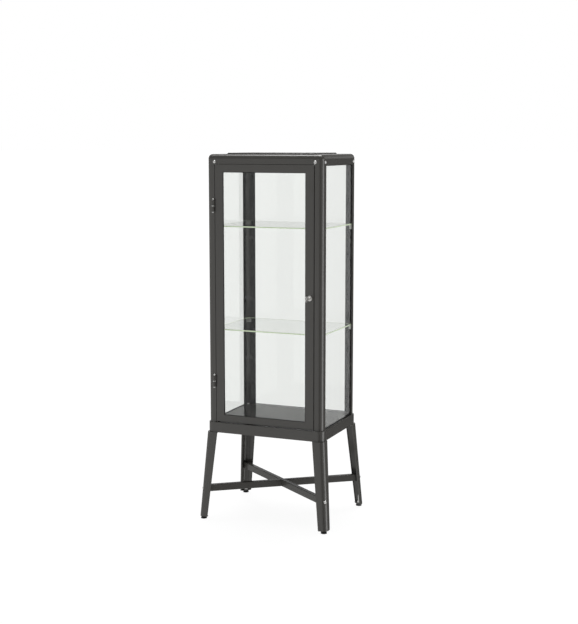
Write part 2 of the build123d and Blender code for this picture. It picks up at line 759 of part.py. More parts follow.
def lock_housing():
    """Round lock barrel with a rounded rim in front of the door."""
    rim_y = DOOR_FRONT_Y - LOCK_RIM_H
    rim = rod(LOCK_RIM_R, (LOCK_X, DOOR_FRONT_Y, LOCK_Z), (LOCK_X, rim_y, LOCK_Z))
    rim = fillet(rim.faces().sort_by(Axis.Y)[0].edges(), 1.8)
    barrel_end = (LOCK_X, PLUG_SHOULDER_Y - 0.2, LOCK_Z)
    barrel = rod(LOCK_BODY_R, (LOCK_X, DOOR_FRONT_Y, LOCK_Z), barrel_end)
    bore = rod(
        PLUG_R + RUNNING_GAP, (LOCK_X, rim_y - 1, LOCK_Z), (LOCK_X, DOOR_REAR_Y + 5, LOCK_Z)
    )
    return rim + barrel - bore


def lock_nut():
    """Nut behind the door that clamps the lock."""
    nut = hexagon(
        LOCK_NUT_FLATS, (LOCK_X, DOOR_REAR_Y, LOCK_Z), (LOCK_X, DOOR_REAR_Y + 2.3, LOCK_Z)
    )
    return nut - rod(
        LOCK_BODY_R + PRESS_GAP,
        (LOCK_X, DOOR_REAR_Y - 1, LOCK_Z),
        (LOCK_X, DOOR_REAR_Y + 5, LOCK_Z),
    )


def lock_plug():
    """Turning plug with a key slot in front and a square-ended tail behind."""
    plug = rod(PLUG_R, (LOCK_X, PLUG_FRONT_Y, LOCK_Z), (LOCK_X, PLUG_SHOULDER_Y, LOCK_Z))
    plug = chamfer(plug.faces().sort_by(Axis.Y)[0].edges(), 0.5)
    plug += block(
        (LOCK_X - PLUG_SQUARE, PLUG_SHOULDER_Y, LOCK_Z - PLUG_SQUARE),
        (LOCK_X + PLUG_SQUARE, CAM_REAR_Y, LOCK_Z + PLUG_SQUARE),
    )
    return plug - block(
        (LOCK_X - KEYWAY_HALF_T, PLUG_FRONT_Y - 1, LOCK_Z - KEYWAY_HALF_H),
        (LOCK_X + KEYWAY_HALF_T, PLUG_FRONT_Y + KEYWAY_DEPTH, LOCK_Z + KEYWAY_HALF_H),
    )


def lock_cam():
    """Flat bar on the plug's tail; it hangs down when the door is unlocked."""
    length = CAM_REACH - CAM_W / 2
    half_hole = PLUG_SQUARE + PRESS_GAP
    cam = extrude(Plane.XZ * SlotCenterToCenter(length, CAM_W, rotation=90), CAM_T)
    cam = Pos(LOCK_X, CAM_REAR_Y, LOCK_Z - length / 2) * cam
    return cam - block(
        (LOCK_X - half_hole, CAM_REAR_Y - CAM_T - 1, LOCK_Z - half_hole),
        (LOCK_X + half_hole, CAM_REAR_Y + 1, LOCK_Z + half_hole),
    )


def cam_screw():
    """Screw that holds the cam on the plug."""
    head = rod(4.6, (LOCK_X, CAM_REAR_Y, LOCK_Z), (LOCK_X, CAM_REAR_Y + 2.2, LOCK_Z))
    return fillet(head.faces().sort_by(Axis.Y)[-1].edges(), 0.8)


def key():
    """Flat key with a round pierced bow and a cut blade."""
    bow_y = PLUG_FRONT_Y - KEY_BOW_REACH
    root_y = bow_y + KEY_BOW_R - 3
    hole_y = bow_y - KEY_BOW_R / 3
    left_x = LOCK_X - KEY_HALF_T
    right_x = LOCK_X + KEY_HALF_T
    bow = rod(
        KEY_BOW_R, (LOCK_X - KEY_BOW_HALF_T, bow_y, LOCK_Z), (LOCK_X + KEY_BOW_HALF_T, bow_y, LOCK_Z)
    )
    bow -= rod(KEY_BOW_HOLE_R, (LOCK_X - 2, hole_y, LOCK_Z), (LOCK_X + 2, hole_y, LOCK_Z))
    bow = fillet(bow.edges().filter_by(GeomType.CIRCLE), 0.4)
    neck = block(
        (left_x, root_y, LOCK_Z - KEY_HALF_H - 1), (right_x, PLUG_FRONT_Y - 4, LOCK_Z + KEY_HALF_H + 1)
    )
    blade = block(
        (left_x, root_y, LOCK_Z - KEY_HALF_H), (right_x, PLUG_FRONT_Y + KEY_LENGTH, LOCK_Z + KEY_HALF_H)
    )
    for step, depth in enumerate(KEY_CUTS):
        place = Pos(LOCK_X, PLUG_FRONT_Y + 3 + KEY_CUT_STEP * step, LOCK_Z + KEY_HALF_H)
        blade -= place * Rot(45, 0, 0) * Box(4, depth * 1.4, depth * 1.4)
    return bow + neck + blade


# ---- legs, stretchers and feet ----

def leg_at(z):
    """Outer corner (x, y) and flange width of a leg at a height."""
    share = (LEG_TOP_Z - z) / (LEG_TOP_Z - LEG_BOTTOM_Z)
    x = LEG_TOP[0] + (LEG_FOOT[0] - LEG_TOP[0]) * share
    y = LEG_TOP[1] + (LEG_FOOT[1] - LEG_TOP[1]) * share
    return x, y, LEG_TOP_FLANGE + (LEG_BOTTOM_FLANGE - LEG_TOP_FLANGE) * share


def rounded_corner(x, y, radius):
    """Arc from the +y face to the +x face of a corner at (x, y)."""
    centre = (x - radius, y - radius)
    middle = (centre[0] + radius * cos(radians(45)), centre[1] + radius * sin(radians(45)))
    return ThreePointArc((centre[0], y), middle, (x, centre[1]))


def leg_section(z):
    """Section of a leg: rounded angle, with a hem turned in along each edge."""
    x, y, flange = leg_at(z)
    inner_x = x - LEG_SHEET
    inner_y = y - LEG_SHEET
    outside = rounded_corner(x, y, LEG_CORNER_R)
    inside = rounded_corner(inner_x, inner_y, LEG_CORNER_R - LEG_SHEET)
    side_edge = Polyline(
        outside @ 1, (x, y - flange), (x - LEG_HEM, y - flange),
        (x - LEG_HEM, y - flange + LEG_SHEET), (inner_x, y - flange + LEG_SHEET), inside @ 1,
    )
    back_edge = Polyline(
        inside @ 0, (x - flange + LEG_SHEET, inner_y), (x - flange + LEG_SHEET, y - LEG_HEM),
        (x - flange, y - LEG_HEM), (x - flange, y), outside @ 0,
    )
    return Plane.XY.offset(z) * make_face([outside, side_edge, inside, back_edge])


def inside_leg(z, inset, reach):
    """Area inside a leg's corner: a square of the given reach with one rounded corner."""
    x, y, _ = leg_at(z)
    corner = rounded_corner(x - inset, y - inset, LEG_CORNER_R - inset)
    rest = Polyline(
        corner @ 1, (x - inset, y - reach), (x - reach, y - reach), (x - reach, y - inset), corner @ 0
    )
    return Plane.XY.offset(z) * make_face([corner, rest])


def bar_turn():
    """Angle, in degrees, of the diagonal stretcher through the (+1, +1) leg."""
    x, y, _ = leg_at(BAR_SCREW_Z)
    middle_x = x - LEG_CORNER_R
    middle_y = y - LEG_CORNER_R
    return degrees(atan2(middle_y, middle_x))


def bar_screw_place():
    """Point under the stretcher screw's head, and its outward direction."""
    x, y, _ = leg_at(BAR_SCREW_Z)
    turn = radians(bar_turn())
    slope_x = (LEG_FOOT[0] - LEG_TOP[0]) / (LEG_TOP_Z - LEG_BOTTOM_Z)
    slope_y = (LEG_FOOT[1] - LEG_TOP[1]) / (LEG_TOP_Z - LEG_BOTTOM_Z)
    rise = slope_x * cos(turn) + slope_y * sin(turn)
    outward = Vector(cos(turn), sin(turn), rise).normalized()
    start = Vector(
        x - LEG_CORNER_R + LEG_CORNER_R * cos(turn),
        y - LEG_CORNER_R + LEG_CORNER_R * sin(turn),
        BAR_SCREW_Z,
    )
    return start + outward * 0.05, outward


def leg():
    """Splayed leg of the (+1, +1) quadrant."""
    shape = loft([leg_section(LEG_BOTTOM_Z), leg_section(LEG_TOP_Z)], ruled=True)
    plate_z = LEG_TOP_Z - LEG_PLATE_T
    shape += extrude(inside_leg(plate_z, 1.0, LEG_TOP_FLANGE), LEG_PLATE_T)
    tab = extrude(inside_leg(LEG_BOTTOM_Z, 1.0, LEG_BOTTOM_FLANGE), LEG_PLATE_T)
    tab = chamfer(tab.edges().filter_by(Axis.Z).sort_by_distance((0, 0, 0))[0], LEG_TAB_CHAMFER)
    shape += tab
    shape -= rod(STUD_R + RUNNING_GAP, (*FOOT_XY, LEG_BOTTOM_Z - 1), (*FOOT_XY, LEG_BOTTOM_Z + 5))
    for x, y in LEG_BOLTS_XY:
        shape -= rod(LEG_BOLT_HOLE_R, (x, y, plate_z - 1), (x, y, LEG_TOP_Z + 1))
    start, outward = bar_screw_place()
    return shape - rod(BAR_SCREW_R + 0.2, start + outward * 4, start - outward * 6)


def stretcher_half():
    """One arm of a diagonal stretcher, from the middle to the (+1, +1) leg."""
    low_z = BAR_MIDDLE_Z - BAR_H / 2
    high_z = BAR_MIDDLE_Z + BAR_H / 2
    reach = hypot(*LEG_FOOT) + 10
    start, outward = bar_screw_place()
    solid_from = hypot(start.X, start.Y) - BAR_END_SOLID
    arm = block((-0.01, -BAR_W / 2, low_z), (reach, BAR_W / 2, high_z))
    arm = fillet(arm.edges().filter_by(Axis.X), BAR_EDGE_R)
    arm -= block(
        (-1, -BAR_W / 2 + BAR_WALL, low_z + BAR_WALL),
        (solid_from, BAR_W / 2 - BAR_WALL, high_z - BAR_WALL),
    )
    arm = Rot(0, 0, bar_turn()) * arm
    lower = inside_leg(low_z - 1, LEG_SHEET + 0.05, OVERALL_W)
    upper = inside_leg(high_z + 1, LEG_SHEET + 0.05, OVERALL_W)
    arm &= loft([lower, upper], ruled=True)
    return arm - rod(
        BAR_SCREW_R + RUNNING_GAP, start + outward * 4, start - outward * (BAR_SCREW_LENGTH + 2)
    )


def stretcher_bar(upper):
    """Whole diagonal bar, notched at the middle to lap over or under the other one."""
    half = stretcher_half()
    bar = half + Rot(0, 0, 180) * half
    turn = -bar_turn()
    low_z = BAR_MIDDLE_Z - BAR_H if upper else BAR_MIDDLE_Z
    notch = block((-60, -BAR_W / 2 - 0.2, low_z), (60, BAR_W / 2 + 0.2, low_z + BAR_H))
    bar -= Rot(0, 0, turn) * notch
    bar -= rod(
        BAR_SCREW_R + 0.2,
        (0, 0, BAR_MIDDLE_Z - BAR_H),
        (0, 0, BAR_MIDDLE_Z + BAR_H / 2 - BAR_WALL),
    )
    return mirror(bar, about=Plane.XZ) if upper else bar


def stretcher_end_screws():
    """Domed screw through each leg into its stretcher."""
    start, outward = bar_screw_place()
    screw = domed_screw(start, outward, BAR_SCREW_R, BAR_SCREW_LENGTH, 60)
    return group([into_quadrant(screw, quadrant) for quadrant in QUADRANTS.values()])


def stretcher_centre_screw():
    """Screw driven from below through the lap joint."""
    low_z = BAR_MIDDLE_Z - BAR_H / 2
    return domed_screw((0, 0, low_z), (0, 0, -1), BAR_SCREW_R, BAR_H - 3, 20)


def leg_bolts():
    """Hexagon bolts from below, through each leg's plate and the base frame."""
    low_z = LEG_TOP_Z - LEG_PLATE_T
    bolts = []
    for x, y in LEG_BOLTS_XY:
        bolt = hexagon(LEG_BOLT_FLATS, (x, y, low_z - 4), (x, y, low_z))
        bolt += rod(LEG_BOLT_R, (x, y, low_z), (x, y, BASE_BOTTOM_Z + BASE_WALL + 8))
        bolts.append(bolt)
    return group([into_quadrant(bolt, q) for q in QUADRANTS.values() for bolt in bolts])


def leg_nuts():
    """Nuts of the leg bolts, inside the base frame."""
    low_z = BASE_BOTTOM_Z + BASE_WALL
    nuts = []
    for x, y in LEG_BOLTS_XY:
        nut = hexagon(LEG_BOLT_FLATS, (x, y, low_z), (x, y, low_z + 5))
        nuts.append(nut - rod(LEG_BOLT_R + PRESS_GAP, (x, y, low_z - 1), (x, y, low_z + 6)))
    return group([into_quadrant(nut, q) for q in QUADRANTS.values() for nut in nuts])


def foot_weld_nuts():
    """Nut on the tab of each leg, for the levelling stud."""
    low_z = LEG_BOTTOM_Z + LEG_PLATE_T
    nut = hexagon(STUD_NUT_FLATS, (*FOOT_XY, low_z), (*FOOT_XY, low_z + STUD_NUT_H))
    nut -= rod(STUD_R + RUNNING_GAP, (*FOOT_XY, low_z - 1), (*FOOT_XY, low_z + 8))
    return group([into_quadrant(nut, quadrant) for quadrant in QUADRANTS.values()])


def foot_pad():
    """Round pad of a levelling foot."""
    pad = rod(FOOT_PAD_R, (*FOOT_XY, 0), (*FOOT_XY, FOOT_PAD_H))
    pad = fillet(pad.faces().sort_by(Axis.Z)[-1].edges(), 2.0)
    return chamfer(pad.faces().sort_by(Axis.Z)[0].edges(), 0.8)


def foot_stud():
    """Threaded stud standing in a foot pad."""
    stud = rod(STUD_R, (*FOOT_XY, FOOT_PAD_H), (*FOOT_XY, STUD_TOP_Z))
    return chamfer(stud.faces().sort_by(Axis.Z)[-1].edges(), 0.8)


def pieces():
    """Every piece of the display case, by name."""
    made = {
        "top_panel": top_panel(),
        "head_screws": head_screws(),
        "base_frame": base_frame(),
        "floor_panel": floor_panel(),
        "post_foot_screws": post_foot_screws(),
        "side_glass_left": side_pane(-1),
        "side_glass_right": side_pane(1),
        "back_glass": back_pane(),
        "side_glass_gasket_left": side_gasket(-1),
        "side_glass_gasket_right": side_gasket(1),
        "back_glass_gasket": back_gasket(),
        "glass_clips": glass_clips(),
        "shelf_pads": shelf_pads(),
        "leg_bolts": leg_bolts(),
        "leg_nuts": leg_nuts(),
        "stretcher_bar_upper": stretcher_bar(True),
        "stretcher_bar_lower": stretcher_bar(False),
        "stretcher_centre_screw": stretcher_centre_screw(),
        "stretcher_end_screws": stretcher_end_screws(),
        "foot_weld_nuts": foot_weld_nuts(),
        "hinge_washers": hinge_washers(),
        "door_bumpers": door_bumpers(),
        "door_frame": door_frame(),
        "door_glass": door_glass(),
        "door_glass_gasket": door_glass_gasket(),
        "door_glass_bead": door_glass_bead(),
        "lock_housing": lock_housing(),
        "lock_nut": lock_nut(),
        "lock_plug": lock_plug(),
        "lock_cam": lock_cam(),
        "cam_screw": cam_screw(),
        "key": key(),
    }
    for level, top_z in SHELF_TOPS_Z.items():
        made["shelf_" + level] = shelf(top_z)
        made["shelf_supports_" + level] = shelf_supports(top_z)
    for level, middle_z in zip(("upper", "lower"), HINGE_MIDDLES_Z):
        made["hinge_post_leaf_" + level] = hinge_post_leaf(middle_z)
        made["hinge_door_leaf_" + level] = hinge_door_leaf(middle_z)
        made["hinge_pin_" + level] = hinge_pin(middle_z)
    one_leg = leg()
    one_pad = foot_pad()
    one_stud = foot_stud()
    one_bracket = head_bracket()
    brackets = []
    for place, quadrant in QUADRANTS.items():
        make_post = front_post if quadrant[1] < 0 else back_post
        made["post_" + place] = make_post(quadrant[0])
        made["leg_" + place] = into_quadrant(one_leg, quadrant)
        made["foot_pad_" + place] = into_quadrant(one_pad, quadrant)
        made["foot_stud_" + place] = into_quadrant(one_stud, quadrant)
        brackets.append(into_quadrant(one_bracket, quadrant))
    made["head_brackets"] = group(brackets)
    return made


os.makedirs("parts", exist_ok=True)
for name, shape in pieces().items():
    export_step(shape, "parts/" + name + ".step")
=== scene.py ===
import json
from math import cos, pi, radians, sin

import bmesh
import bpy
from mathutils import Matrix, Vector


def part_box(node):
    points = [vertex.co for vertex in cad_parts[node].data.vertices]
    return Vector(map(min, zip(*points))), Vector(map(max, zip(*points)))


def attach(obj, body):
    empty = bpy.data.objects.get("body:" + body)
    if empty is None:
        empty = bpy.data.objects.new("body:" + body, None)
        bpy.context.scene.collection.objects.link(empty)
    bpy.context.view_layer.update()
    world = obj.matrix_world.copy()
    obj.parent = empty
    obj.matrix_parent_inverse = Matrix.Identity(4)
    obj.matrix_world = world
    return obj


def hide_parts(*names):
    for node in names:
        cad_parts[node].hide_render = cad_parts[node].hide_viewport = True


# The finished look of the tower display case: materials for every CAD piece, finer shelves,
# levelling feet and hinge pins, a white studio and the camera.

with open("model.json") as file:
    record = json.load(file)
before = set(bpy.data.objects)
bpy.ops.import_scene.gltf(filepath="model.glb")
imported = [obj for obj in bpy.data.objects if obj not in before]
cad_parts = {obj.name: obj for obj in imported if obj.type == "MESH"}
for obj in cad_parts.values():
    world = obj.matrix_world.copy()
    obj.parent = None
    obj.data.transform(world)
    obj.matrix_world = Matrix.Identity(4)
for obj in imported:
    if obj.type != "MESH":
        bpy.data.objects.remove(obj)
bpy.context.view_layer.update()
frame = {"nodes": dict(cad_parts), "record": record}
NODES = frame["nodes"]
RECORD = frame["record"]

# ---- places and sizes (metres) ----

CAMERA_PLACE = (1.9746, -4.6514, 1.5458)
CAMERA_PITCH = 7.815            # degrees below level
CAMERA_TURN = 22.70             # degrees round from looking along +Y
CAMERA_LENS = 71.06
CAMERA_SENSOR = 36.0

FLOOR_SIZE = 400.0              # reaches the horizon
FLOOR_GLOW = 0.94               # the floor's own radiance, near the backdrop's white

EDGE_SOFT = 0.0006              # radius that sheet edges catch the light with

SHELF_CORNER = 0.003
SHELF_BEVEL = 0.0006

THREAD_PITCH = 0.00125          # of the levelling studs
THREAD_DEPTH = 0.00065
THREAD_ROWS = 6                 # rings of points in each turn of the thread
STUD_POINT = 0.0008             # chamfer of a stud's end

PAD_RIM_H = 0.0018              # levelling pads: the rim they stand on
PAD_FOOT_R = 0.0006
PAD_SHOULDER = 0.002
PAD_BOSS_R = 0.0070             # boss round the stud
PAD_BOSS_H = 0.0014
PAD_BOSS_EDGE = 0.0003
PAD_GRIPS = 18
PAD_GRIP_DEPTH = 0.0006

PIN_R = 0.0030                  # hinge pins
PIN_DOME = 0.0023               # rounding of the foot
PIN_FOOT_H = 0.0054
PIN_CAP_H = 0.0064              # collar and finial together
PIN_COLLAR_H = 0.0014
PIN_EDGE = 0.0004
PIN_BALL = 0.0017

# Radiance of the studio round the case, by azimuth in degrees from -Y towards +X.
STUDIO_LOW = (
    (-180, 0.12), (-150, 0.06), (-132, 0.08), (-112, 0.42), (-80, 0.52), (-55, 0.62),
    (-12, 0.58), (6, 0.42), (20, 0.03), (47, 0.04), (57, 0.34), (80, 0.38), (94, 2.60),
    (113, 2.60), (127, 0.50), (145, 0.12), (165, 0.08), (180, 0.08),
)
STUDIO_HIGH = (
    (-180, 0.94), (-145, 0.92), (-120, 0.30), (-90, 0.20), (-40, 0.12),
    (40, 0.10), (90, 0.30), (130, 0.30), (155, 0.24), (180, 0.94),
)
STUDIO_PEAK = 8.0               # the ramps hold shares of this
STUDIO_RISE = (0.02, 0.06)      # sines of elevation, from the low ramp to the high one
STUDIO_MIDDLE = (0.16, 0.32)    # from the high ramp to the plain middle
STUDIO_BELOW = (-0.3, -0.6)     # from the low ramp to the light from under the horizon
STUDIO_MID = 0.12               # between the backdrop and the overhead light
STUDIO_TOP = 8.0
STUDIO_TOP_LEAN = 10.0          # degrees the overhead light leans away from the camera
STUDIO_TOP_EDGE = (0.90, 0.95)  # cosines of the angles from its middle, from edge to full
STUDIO_UNDER = 0.6
STUDIO_WHITE = 1.0


# ---- node helpers ----

def add(tree, kind, inputs=None, **settings):
    """A shader node, with its inputs set to values or linked to sockets."""
    made = tree.nodes.new("ShaderNode" + kind)
    for name, value in settings.items():
        setattr(made, name, value)
    for name, value in (inputs or {}).items():
        if isinstance(value, bpy.types.NodeSocket):
            tree.links.new(value, made.inputs[name])
        else:
            made.inputs[name].default_value = value
    return made


def maths(tree, operation, first, second=0.0, clamp=False):
    """Output of one Math node."""
    return add(tree, "Math", {0: first, 1: second}, operation=operation, use_clamp=clamp).outputs[0]


def spread(tree, value, low, high, to_low, to_high, smooth=False):
    """value, mapped from one range to another and held inside it."""
    kind = "SMOOTHSTEP" if smooth else "LINEAR"
    inputs = {"Value": value, "From Min": low, "From Max": high, "To Min": to_low, "To Max": to_high}
    return add(tree, "MapRange", inputs, interpolation_type=kind, clamp=True).outputs[0]


def mixed(tree, share, first, second):
    """Colour between two colours."""
    made = tree.nodes.new("ShaderNodeMix")
    made.data_type = "RGBA"
    for name, value in ((0, share), (6, first), (7, second)):
        if isinstance(value, bpy.types.NodeSocket):
            tree.links.new(value, made.inputs[name])
        else:
            made.inputs[name].default_value = value
    return made.outputs[2]


def rgba(colour, factor=1.0):
    """Colour with alpha, made lighter or darker."""
    return (*[min(1.0, part * factor) for part in colour], 1.0)


def noise(tree, wavelength, detail=2.0, roughness=0.5, stretch=(1, 1, 1)):
    """Noise of a real wavelength in metres, in the piece's own space."""
    place = add(tree, "TexCoord").outputs["Object"]
    if stretch != (1, 1, 1):
        place = add(tree, "Mapping", {"Vector": place, "Scale": stretch}).outputs[0]
    inputs = {"Vector": place, "Scale": 1 / wavelength, "Detail": detail, "Roughness": roughness}
    return add(tree, "TexNoise", inputs).outputs[0]


def bumped(tree, height, depth, normal=None):
    """Normal for a surface whose height varies by depth metres."""
    inputs = {"Height": height, "Strength": 1.0, "Distance": depth}
    if normal is not None:
        inputs["Normal"] = normal
    return add(tree, "Bump", inputs).outputs[0]


def new_material(name, **values):
    """A material with one Principled shader, its plain numbers set on the sockets."""
    material = bpy.data.materials.new(name)
    material.use_nodes = True
    tree = material.node_tree
    shader = tree.nodes["Principled BSDF"]
    for socket, value in values.items():
        shader.inputs[socket.replace("_", " ")].default_value = value
    return material, tree, shader


def feed(tree, shader, **sockets):
    """Link sockets into the shader's inputs."""
    for name, socket in sockets.items():
        tree.links.new(socket, shader.inputs[name.replace("_", " ")])


# ---- materials ----

def painted_steel(name, colour, roughness, peel_depth, wear_and_highlight=0.5):
    """Powder coat: fine orange peel, faint dust and flow marks, edges a shade lighter, partly rubbed
    paint and partly a painted edge highlight.
    """
    material, tree, shader = new_material(name, IOR=1.6)
    broad = noise(tree, 0.30, 3.0)
    tone = mixed(tree, spread(tree, broad, 0.3, 0.7, 0, 1), rgba(colour, 0.95), rgba(colour, 1.05))
    soft = add(tree, "Bevel", {"Radius": EDGE_SOFT}, samples=4).outputs[0]
    hard = add(tree, "NewGeometry").outputs["Normal"]
    turn = add(tree, "VectorMath", {0: soft, 1: hard}, operation="DOT_PRODUCT").outputs["Value"]
    # Edge mask: edges are lightened, partly as rubbed paint and partly as a painted highlight.
    edge = spread(tree, turn, 0.995, 0.90, 0, 1)
    patch = spread(tree, noise(tree, 0.012, 3.0), 0.45, 0.65, 0, wear_and_highlight)
    rubbed_and_highlit_edge = maths(tree, "MULTIPLY", edge, patch)
    tone = mixed(tree, rubbed_and_highlit_edge, tone, rgba(colour, 1.9))
    dusty = noise(tree, 0.05, 4.0, 0.6)
    gloss = spread(tree, dusty, 0.3, 0.7, roughness - 0.03, roughness + 0.04)
    normal = bumped(tree, noise(tree, 0.003, 1.0), peel_depth, soft)
    feed(tree, shader, Base_Color=tone, Roughness=gloss, Normal=normal)
    return material


def clear_glass(name, colour):
    """Float glass, polished, with the faintest smears on it."""
    material, tree, shader = new_material(name, IOR=1.33, Transmission_Weight=1.0)
    shader.inputs["Base Color"].default_value = rgba(colour)
    smear = noise(tree, 0.09, 4.0, 0.62, (1.0, 1.0, 0.35))
    feed(tree, shader, Roughness=spread(tree, smear, 0.55, 0.8, 0.0, 0.015))
    return material


def ground_edge(name, colour):
    """Ground edge of float glass: frosted, and green from the length of glass behind it; its emission
    is painted light that brightens the edge.
    """
    # The emission here is painted light: the edge lights itself.
    material, tree, shader = new_material(name, IOR=1.5, Emission_Strength=0.36)
    shader.inputs["Emission Color"].default_value = rgba(colour)
    broad = noise(tree, 0.06, 2.0)
    tone = mixed(tree, spread(tree, broad, 0.3, 0.7, 0, 1), rgba(colour, 0.92), rgba(colour, 1.06))
    fine = noise(tree, 0.0008, 2.0)
    feed(
        tree,
        shader,
        Base_Color=tone,
        Roughness=spread(tree, fine, 0.3, 0.7, 0.28, 0.42),
        Normal=bumped(tree, fine, 0.00001),
    )
    return material


def plated(name, colour, roughness, brushed=(1, 1, 1), grain=0.0006, metal=1.0, glow=0.0):
    """Plated steel with a fine grain and slightly duller patches.

    glow is painted light: a plain emitted brightness in place of the small lamps that the studio
    leaves out.
    """
    material, tree, shader = new_material(name, Metallic=metal, Emission_Strength=glow)
    shader.inputs["Emission Color"].default_value = rgba(colour)
    patch = noise(tree, 0.006, 3.0)
    tone = mixed(tree, spread(tree, patch, 0.3, 0.7, 0, 1), rgba(colour, 0.86), rgba(colour, 1.04))
    gloss = spread(tree, patch, 0.3, 0.7, roughness - 0.05, roughness + 0.08)
    normal = bumped(tree, noise(tree, grain, 2.0, 0.5, brushed), 0.000006)
    feed(tree, shader, Base_Color=tone, Roughness=gloss, Normal=normal)
    return material


def rubber(name, colour, roughness=0.72):
    """Moulded rubber or plastic with a fine matt grain."""
    material, tree, shader = new_material(name, IOR=1.5)
    grain = noise(tree, 0.0006, 2.0)
    bloom = noise(tree, 0.02, 3.0)
    tone = mixed(tree, spread(tree, bloom, 0.35, 0.7, 0, 1), rgba(colour), rgba(colour, 1.5))
    feed(
        tree,
        shader,
        Base_Color=tone,
        Roughness=spread(tree, bloom, 0.3, 0.7, roughness - 0.06, roughness + 0.06),
        Normal=bumped(tree, grain, 0.00002),
    )
    return material


PAINT = (0.075, 0.072, 0.066)

MATERIALS = {
    "dark_paint": painted_steel("dark_paint", PAINT, 0.20, 0.000006),
    "floor_paint": painted_steel("floor_paint", PAINT, 0.10, 0.000002),
    "clip_steel": painted_steel("clip_steel", (0.04, 0.04, 0.038), 0.35, 0.000004),
    # The glow values on the plated metals are painted light, emitted in place of small lamps.
    "support_metal": plated("support_metal", (0.90, 0.90, 0.87), 0.45, metal=0.15, glow=0.10),
    "soft_pad": rubber("soft_pad", (0.42, 0.44, 0.42), 0.5),
    "shelf_glass": clear_glass("shelf_glass", (0.95, 0.965, 0.945)),
    "clear_glass": clear_glass("clear_glass", (0.930, 0.940, 0.928)),
    "door_glass": clear_glass("door_glass", (0.862, 0.872, 0.860)),
    "glass_edge": ground_edge("glass_edge", (0.84, 0.98, 0.70)),
    "rubber": rubber("rubber", (0.012, 0.012, 0.012)),
    "zinc": plated("zinc", (0.88, 0.88, 0.86), 0.38, glow=0.18),
    "bright_steel": plated("bright_steel", (0.78, 0.78, 0.76), 0.16, glow=0.06),
    "nickel": plated("nickel", (0.84, 0.83, 0.80), 0.30, glow=0.10),
    "key_steel": plated("key_steel", (0.80, 0.79, 0.76), 0.34, (1, 12, 1), glow=0.10),
    "foot_plastic": rubber("foot_plastic", (0.011, 0.011, 0.011), 0.55),
}


def dress_cad_nodes():
    """Every CAD node takes the material of its slot in the record."""
    for subpart in RECORD["subparts"]:
        piece = NODES[subpart["node"]]
        material = MATERIALS[subpart["material_slot"]]
        if not piece.material_slots:
            piece.data.materials.append(material)
        for slot in piece.material_slots:
            slot.material = material
    # The door's pane is a shade greyer than the others.
    for slot in NODES["door_glass"].material_slots:
        slot.material = MATERIALS["door_glass"]


# ---- pieces ----

def outline(low, high, radius, inset=0.0, steps=6):
    """Points round a rectangle with rounded corners, anticlockwise from above."""
    points = []
    corners = (
        (high.x - radius, high.y - radius, 0), (low.x + radius, high.y - radius, 90),
        (low.x + radius, low.y + radius, 180), (high.x - radius, low.y + radius, 270),
    )
    for x, y, start in corners:
        for step in range(steps + 1):
            angle = radians(start + 90 * step / steps)
            reach = radius - inset
            points.append((x + reach * cos(angle), y + reach * sin(angle)))
    return points


def finished(mesh_maker, name, body, node, *materials):
    """Turn a bmesh into a piece that rides on a body and stands in for a CAD node.

    The first of the named materials is also the piece's slot.
    """
    mesh = bpy.data.meshes.new(name)
    bmesh.ops.recalc_face_normals(mesh_maker, faces=mesh_maker.faces)
    mesh_maker.to_mesh(mesh)
    mesh_maker.free()
    piece = bpy.data.objects.new(name, mesh)
    bpy.context.scene.collection.objects.link(piece)
    for material in materials:
        mesh.materials.append(MATERIALS[material])
    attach(piece, body)
    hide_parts(node)


def glass_shelf(level):
    """Loose glass shelf with polished faces and a frosted, ground edge."""
    node = "shelf_" + level
    low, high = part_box(node)
    bevel = SHELF_BEVEL
    rings = (
        (low.z, bevel), (low.z + bevel, 0.0), (high.z - bevel, 0.0), (high.z, bevel),
    )
    maker = bmesh.new()
    loops = []
    for z, inset in rings:
        points = outline(low, high, SHELF_CORNER, inset)
        loops.append([maker.verts.new((x, y, z)) for x, y in points])
    for under, over in zip(loops, loops[1:]):
        for index, vertex in enumerate(under):
            after = (index + 1) % len(under)
            face = maker.faces.new((vertex, under[after], over[after], over[index]))
            face.material_index = 1
            face.smooth = True
    maker.faces.new(loops[0][::-1])
    maker.faces.new(loops[-1])
    finished(maker, node + "_glass", level + "_shelf", node, "shelf_glass", "glass_edge")


def turned(maker, x, y, profile, steps=40, relief=None):
    """Turn a profile of (radius, z) points round an upright axis, from its foot to its top.

    relief(angle, z), where it is given, is taken off the radius.
    """
    loops = []
    for radius, z in profile:
        ring = []
        for step in range(steps):
            angle = 2 * pi * step / steps
            reach = radius - (relief(angle, z) if relief else 0.0)
            ring.append(maker.verts.new((x + reach * cos(angle), y + reach * sin(angle), z)))
        loops.append(ring)
    for under, over in zip(loops, loops[1:]):
        for step, vertex in enumerate(under):
            after = (step + 1) % steps
            face = maker.faces.new((vertex, under[after], over[after], over[step]))
            face.smooth = True
    maker.faces.new(loops[0][::-1])
    maker.faces.new(loops[-1])


def arc(radius, z, size, start, end, steps=6):
    """Profile points (radius, z) along an arc, between two angles in degrees."""
    points = []
    for step in range(steps + 1):
        angle = radians(start + (end - start) * step / steps)
        points.append((radius + size * cos(angle), z + size * sin(angle)))
    return points


def node_places(node):
    """Axis (x, y), radius, foot and top of an upright round CAD node."""
    low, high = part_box(node)
    middle = (low + high) / 2
    return middle.x, middle.y, (high.x - low.x) / 2, low.z, high.z


